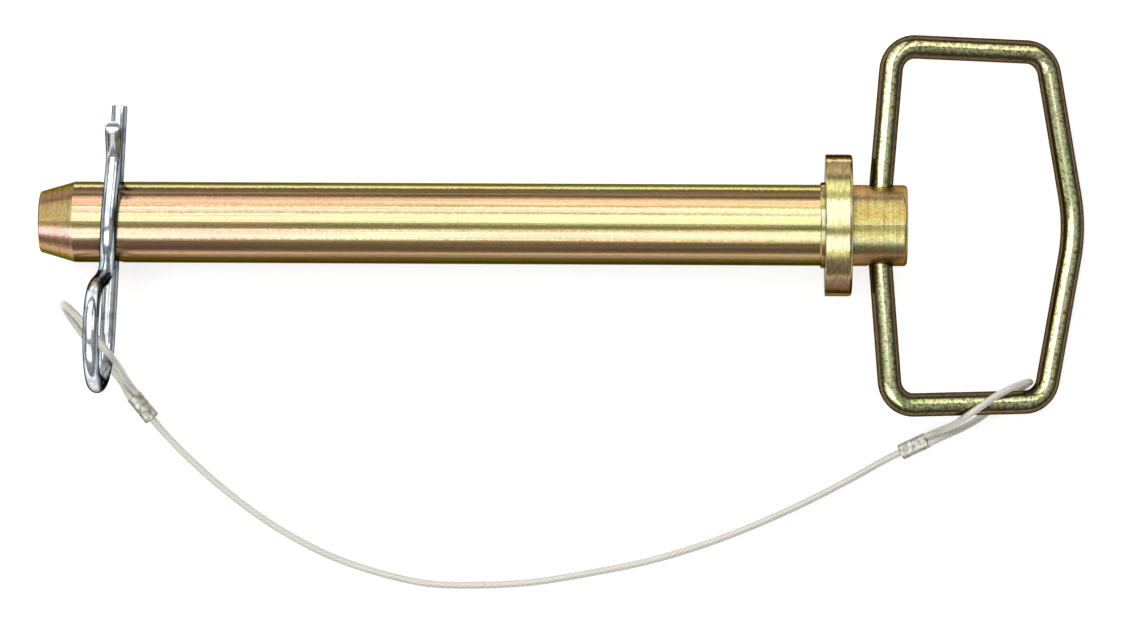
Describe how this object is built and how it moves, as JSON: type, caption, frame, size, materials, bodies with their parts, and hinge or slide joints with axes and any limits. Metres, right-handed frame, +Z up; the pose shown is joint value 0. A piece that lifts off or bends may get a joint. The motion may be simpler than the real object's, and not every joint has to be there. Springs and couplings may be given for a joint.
{
  "type": "hitch pin",
  "caption": "Straight hitch pin with a pressed collar, a swinging bent-wire handle, an R-shaped spring clip through its nose end and a wire-rope lanyard that ties clip to handle.",
  "frame": {"origin": "centre of the collar's face that meets the drawbar, on the pin's axis", "axes": "+X along the pin from its nose to its handle, +Z up as the pin lies on its side, +Y across the pin, the way the clip's legs point"},
  "size_m": [0.2462, 0.1314, 0.0442],
  "materials": {
    "yellow_zinc": "turned steel, yellow chromate zinc plate",
    "yellow_zinc_wire": "steel wire, yellow chromate zinc plate",
    "bright_zinc": "spring steel wire, bright clear zinc plate",
    "sleeved_cable": "steel wire rope in a clear plastic sleeve",
    "aluminium": "crimped, dinged"
  },
  "bodies": {
    "pin": {"pin_shank": "yellow_zinc", "collar": "yellow_zinc", "cable_clip_half": "sleeved_cable", "cable_handle_half": "sleeved_cable"},
    "handle": {"handle": "yellow_zinc_wire", "cable_handle_eye": "sleeved_cable", "ferrule_handle": "aluminium"},
    "clip": {"clip_leg_and_ring": "bright_zinc", "clip_spring_leg": "bright_zinc", "cable_clip_eye": "sleeved_cable", "ferrule_clip": "aluminium"}
  },
  "joints": [
    {"name": "handle_swing", "type": "hinge", "parent": "pin", "child": "handle", "pos_m": [0.0129, 0, 0], "axis": [0, 1, 0], "range_deg": [-184, 145.5], "deforming": ["cable_handle_half"]},
    {"name": "clip_pull", "type": "slide", "parent": "pin", "child": "clip", "axis": [-0.0485, -0.9988, 0], "range_m": [0, 0.04], "deforming": ["clip_spring_leg", "cable_clip_half"]}
  ]
}
